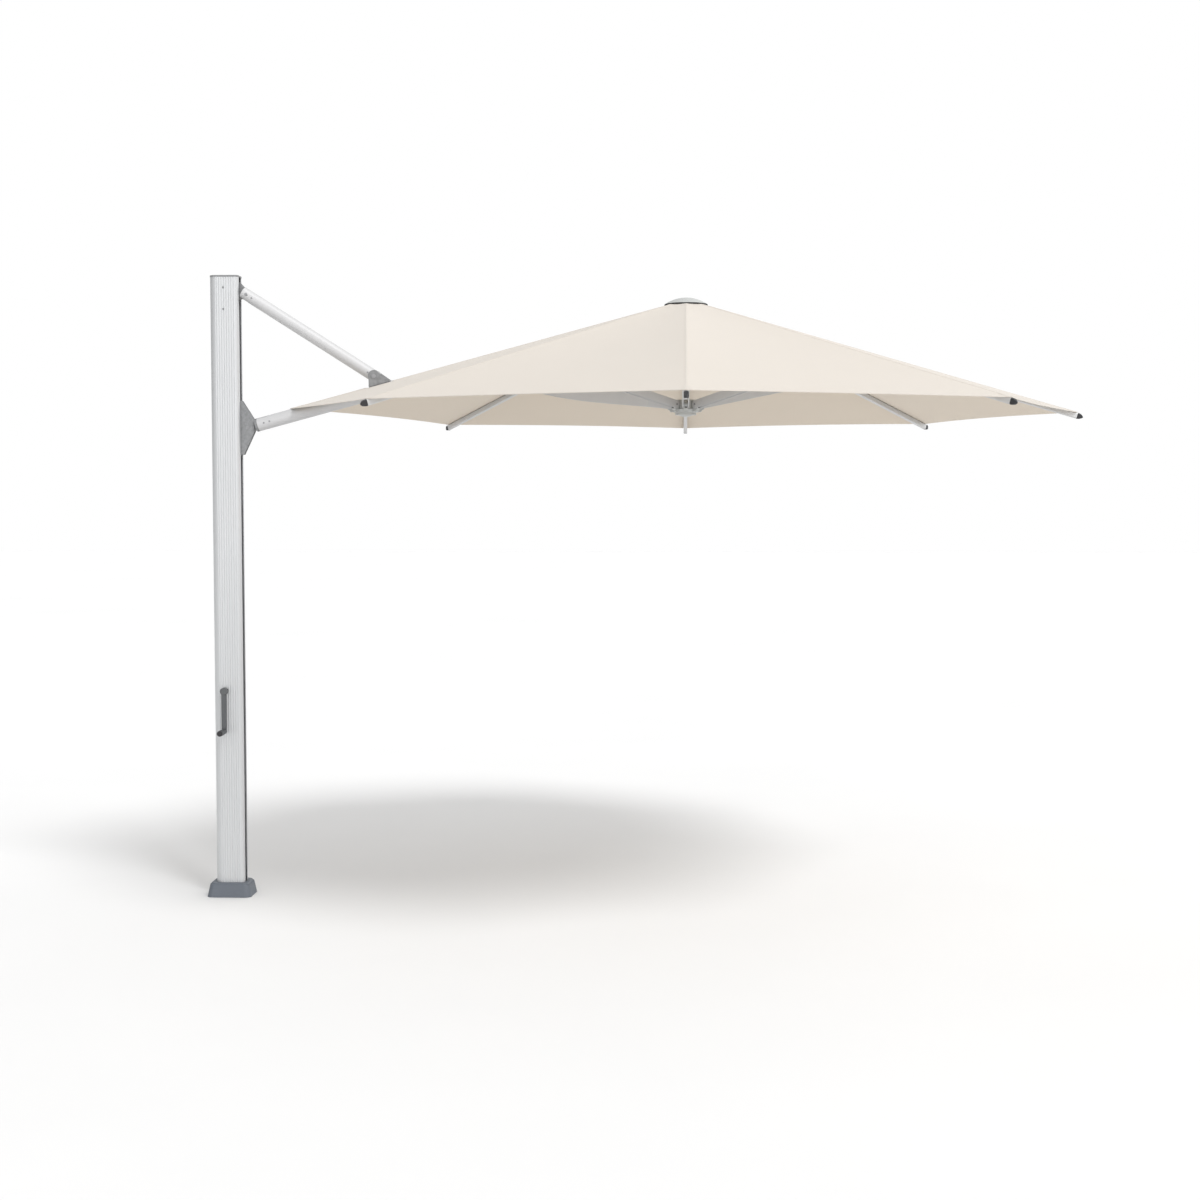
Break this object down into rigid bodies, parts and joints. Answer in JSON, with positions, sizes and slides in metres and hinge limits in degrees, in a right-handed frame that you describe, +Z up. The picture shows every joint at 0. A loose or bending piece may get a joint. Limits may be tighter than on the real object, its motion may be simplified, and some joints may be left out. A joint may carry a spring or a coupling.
{
  "type": "cantilever parasol",
  "caption": "Cantilever garden parasol: a slotted, fluted mast holds a strut and a boom on a sliding carriage, and the boom carries an octagonal cloth canopy on folding ribs.",
  "frame": {"origin": "middle of the foot plate's underside, on the mast's axis at ground level", "axes": "+X from the mast towards the canopy, +Y across, +Z up along the mast"},
  "size_m": [4.4744, 3.9988, 3.2021],
  "materials": {
    "mast_aluminium": "anodised, fluted, satin",
    "tube_aluminium": "fine satin coat, light silver",
    "rib_aluminium": "natural satin",
    "cast_grey": "cast, coated mid grey, slightly rough",
    "dark_metal": "dark grey satin coat",
    "pin_steel": "turned",
    "galvanised_steel": "galvanised",
    "foot_plastic": "moulded, fine grain",
    "black_plastic": "moulded",
    "grip_plastic": "moulded, soft",
    "hub_plastic": "moulded, satin grey",
    "rope": "braided",
    "canopy_cloth": "woven awning cloth, cream"
  },
  "bodies": {
    "mast": {"foot_plate": "galvanised_steel", "spigot_screws": "pin_steel", "foot_cover": "foot_plastic", "mast": "mast_aluminium", "mast_cap": "cast_grey", "top_casting": "cast_grey", "strut_pin": "pin_steel", "shaft_bushes": "black_plastic", "brake_housing": "dark_metal", "travel_stop": "black_plastic", "closing_rope": "rope"},
    "strut": {"strut_tube": "tube_aluminium", "strut_upper_plug": "cast_grey", "strut_lower_plug": "cast_grey"},
    "boom": {"boom_tube": "tube_aluminium", "boom_foot": "cast_grey", "boom_bracket": "cast_grey", "bracket_pin": "pin_steel", "boom_head": "cast_grey", "boom_arm_pin": "pin_steel"},
    "carriage": {"carriage": "cast_grey", "carriage_pin": "pin_steel", "carriage_glides": "black_plastic"},
    "crank": {"crank_shaft": "dark_metal", "winch_drum": "black_plastic", "crank_arm": "dark_metal", "grip_pin": "pin_steel"},
    "grip": {"crank_grip": "grip_plastic", "grip_end": "black_plastic"},
    "crown": {"crown": "cast_grey", "crown_pins": "pin_steel", "canopy_cap": "hub_plastic", "cap_seal": "black_plastic", "canopy": "canopy_cloth"},
    "runner": {"runner": "hub_plastic", "runner_pins": "pin_steel"},
    "rib_right": {"rib_right": "rib_aluminium", "tip_right": "black_plastic"},
    "stretcher_right": {"stretcher_right": "rib_aluminium"},
    "rib_right_back": {"rib_right_back": "rib_aluminium", "tip_right_back": "black_plastic"},
    "stretcher_right_back": {"stretcher_right_back": "rib_aluminium"},
    "rib_back": {"rib_back": "rib_aluminium", "tip_back": "black_plastic"},
    "stretcher_back": {"stretcher_back": "rib_aluminium"},
    "rib_left_back": {"rib_left_back": "rib_aluminium", "tip_left_back": "black_plastic"},
    "stretcher_left_back": {"stretcher_left_back": "rib_aluminium"},
    "stretcher_left": {"stretcher_left": "rib_aluminium"},
    "rib_left_front": {"rib_left_front": "rib_aluminium", "tip_left_front": "black_plastic"},
    "stretcher_left_front": {"stretcher_left_front": "rib_aluminium"},
    "rib_front": {"rib_front": "rib_aluminium", "tip_front": "black_plastic"},
    "stretcher_front": {"stretcher_front": "rib_aluminium"},
    "rib_right_front": {"rib_right_front": "rib_aluminium", "tip_right_front": "black_plastic"},
    "stretcher_right_front": {"stretcher_right_front": "rib_aluminium"}
  },
  "joints": [
    {"name": "strut_swing", "type": "hinge", "parent": "mast", "child": "strut", "pos_m": [0.112, 0, 3.105], "axis": [0, 1, 0], "range_deg": [0, 57.36], "deforming": ["canopy", "closing_rope"]},
    {"name": "boom_lift", "type": "hinge", "parent": "strut", "child": "boom", "pos_m": [0.769, 0, 2.688], "axis": [0, -1, 0], "range_deg": [0, 125.41]},
    {"name": "carriage_travel", "type": "hinge", "parent": "boom", "child": "carriage", "pos_m": [0.109, 0, 2.428], "axis": [0, 1, 0], "range_deg": [0, 68.05]},
    {"name": "crown_tilt", "type": "hinge", "parent": "boom", "child": "crown", "pos_m": [2.28, 0, 2.945], "axis": [0, 1, 0], "range_deg": [0, 73.8]},
    {"name": "crank_turn", "type": "hinge", "parent": "mast", "child": "crank", "pos_m": [-0.015, 0, 1.071], "axis": [0, 1, 0], "range_deg": [0, 2520.05]},
    {"name": "grip_spin", "type": "hinge", "parent": "crank", "child": "grip", "pos_m": [-0.015, -0.125, 0.863], "axis": [0, -1, 0], "continuous": true},
    {"name": "rib_right_fold", "type": "hinge", "parent": "crown", "child": "rib_right", "pos_m": [2.44, 0, 2.945], "axis": [0, 1, 0], "range_deg": [0, 73.8]},
    {"name": "stretcher_right_fold", "type": "hinge", "parent": "rib_right", "child": "stretcher_right", "pos_m": [3.4299, 0, 2.7425], "axis": [0, -1, 0], "range_deg": [0, 147.55]},
    {"name": "rib_right_back_fold", "type": "hinge", "parent": "crown", "child": "rib_right_back", "pos_m": [2.41657, 0.05657, 2.945], "axis": [-0.7071, 0.7071, 0], "range_deg": [0, 73.8]},
    {"name": "stretcher_right_back_fold", "type": "hinge", "parent": "rib_right_back", "child": "stretcher_right_back", "pos_m": [3.11653, 0.75653, 2.7425], "axis": [0.7071, -0.7071, 0], "range_deg": [0, 147.55]},
    {"name": "rib_back_fold", "type": "hinge", "parent": "crown", "child": "rib_back", "pos_m": [2.36, 0.08, 2.945], "axis": [-1, 0, 0], "range_deg": [0, 73.8]},
    {"name": "stretcher_back_fold", "type": "hinge", "parent": "rib_back", "child": "stretcher_back", "pos_m": [2.36, 1.0699, 2.7425], "axis": [1, 0, 0], "range_deg": [0, 147.55]},
    {"name": "rib_left_back_fold", "type": "hinge", "parent": "crown", "child": "rib_left_back", "pos_m": [2.30343, 0.05657, 2.945], "axis": [-0.7071, -0.7071, 0], "range_deg": [0, 73.8]},
    {"name": "stretcher_left_back_fold", "type": "hinge", "parent": "rib_left_back", "child": "stretcher_left_back", "pos_m": [1.60347, 0.75653, 2.7425], "axis": [0.7071, 0.7071, 0], "range_deg": [0, 147.55]},
    {"name": "stretcher_left_fold", "type": "hinge", "parent": "boom", "child": "stretcher_left", "pos_m": [1.2901, 0, 2.7425], "axis": [0, 1, 0], "range_deg": [0, 147.55]},
    {"name": "rib_left_front_fold", "type": "hinge", "parent": "crown", "child": "rib_left_front", "pos_m": [2.30343, -0.05657, 2.945], "axis": [0.7071, -0.7071, 0], "range_deg": [0, 73.8]},
    {"name": "stretcher_left_front_fold", "type": "hinge", "parent": "rib_left_front", "child": "stretcher_left_front", "pos_m": [1.60347, -0.75653, 2.7425], "axis": [-0.7071, 0.7071, 0], "range_deg": [0, 147.55]},
    {"name": "rib_front_fold", "type": "hinge", "parent": "crown", "child": "rib_front", "pos_m": [2.36, -0.08, 2.945], "axis": [1, 0, 0], "range_deg": [0, 73.8]},
    {"name": "stretcher_front_fold", "type": "hinge", "parent": "rib_front", "child": "stretcher_front", "pos_m": [2.36, -1.0699, 2.7425], "axis": [-1, 0, 0], "range_deg": [0, 147.55]},
    {"name": "rib_right_front_fold", "type": "hinge", "parent": "crown", "child": "rib_right_front", "pos_m": [2.41657, -0.05657, 2.945], "axis": [0.7071, 0.7071, 0], "range_deg": [0, 73.8]},
    {"name": "stretcher_right_front_fold", "type": "hinge", "parent": "rib_right_front", "child": "stretcher_right_front", "pos_m": [3.11653, -0.75653, 2.7425], "axis": [-0.7071, -0.7071, 0], "range_deg": [0, 147.55]},
    {"name": "runner_drop", "type": "hinge", "parent": "stretcher_left", "child": "runner", "pos_m": [2.28, 0, 2.54], "axis": [0, -1, 0], "range_deg": [0, 73.8]}
  ],
  "couplings": [
    {"joint": "boom_lift", "follows": "strut_swing", "ratio": 2.1854},
    {"joint": "carriage_travel", "follows": "strut_swing", "ratio": 1.1854},
    {"joint": "crown_tilt", "follows": "strut_swing", "ratio": 1.2857},
    {"joint": "crank_turn", "follows": "strut_swing", "ratio": 43.931},
    {"joint": "rib_right_fold", "follows": "strut_swing", "ratio": 1.2857},
    {"joint": "stretcher_right_fold", "follows": "strut_swing", "ratio": 2.5713},
    {"joint": "rib_right_back_fold", "follows": "strut_swing", "ratio": 1.2857},
    {"joint": "stretcher_right_back_fold", "follows": "strut_swing", "ratio": 2.5713},
    {"joint": "rib_back_fold", "follows": "strut_swing", "ratio": 1.2857},
    {"joint": "stretcher_back_fold", "follows": "strut_swing", "ratio": 2.5713},
    {"joint": "rib_left_back_fold", "follows": "strut_swing", "ratio": 1.2857},
    {"joint": "stretcher_left_back_fold", "follows": "strut_swing", "ratio": 2.5713},
    {"joint": "stretcher_left_fold", "follows": "strut_swing", "ratio": 2.5713},
    {"joint": "rib_left_front_fold", "follows": "strut_swing", "ratio": 1.2857},
    {"joint": "stretcher_left_front_fold", "follows": "strut_swing", "ratio": 2.5713},
    {"joint": "rib_front_fold", "follows": "strut_swing", "ratio": 1.2857},
    {"joint": "stretcher_front_fold", "follows": "strut_swing", "ratio": 2.5713},
    {"joint": "rib_right_front_fold", "follows": "strut_swing", "ratio": 1.2857},
    {"joint": "stretcher_right_front_fold", "follows": "strut_swing", "ratio": 2.5713},
    {"joint": "runner_drop", "follows": "strut_swing", "ratio": 1.2857}
  ]
}
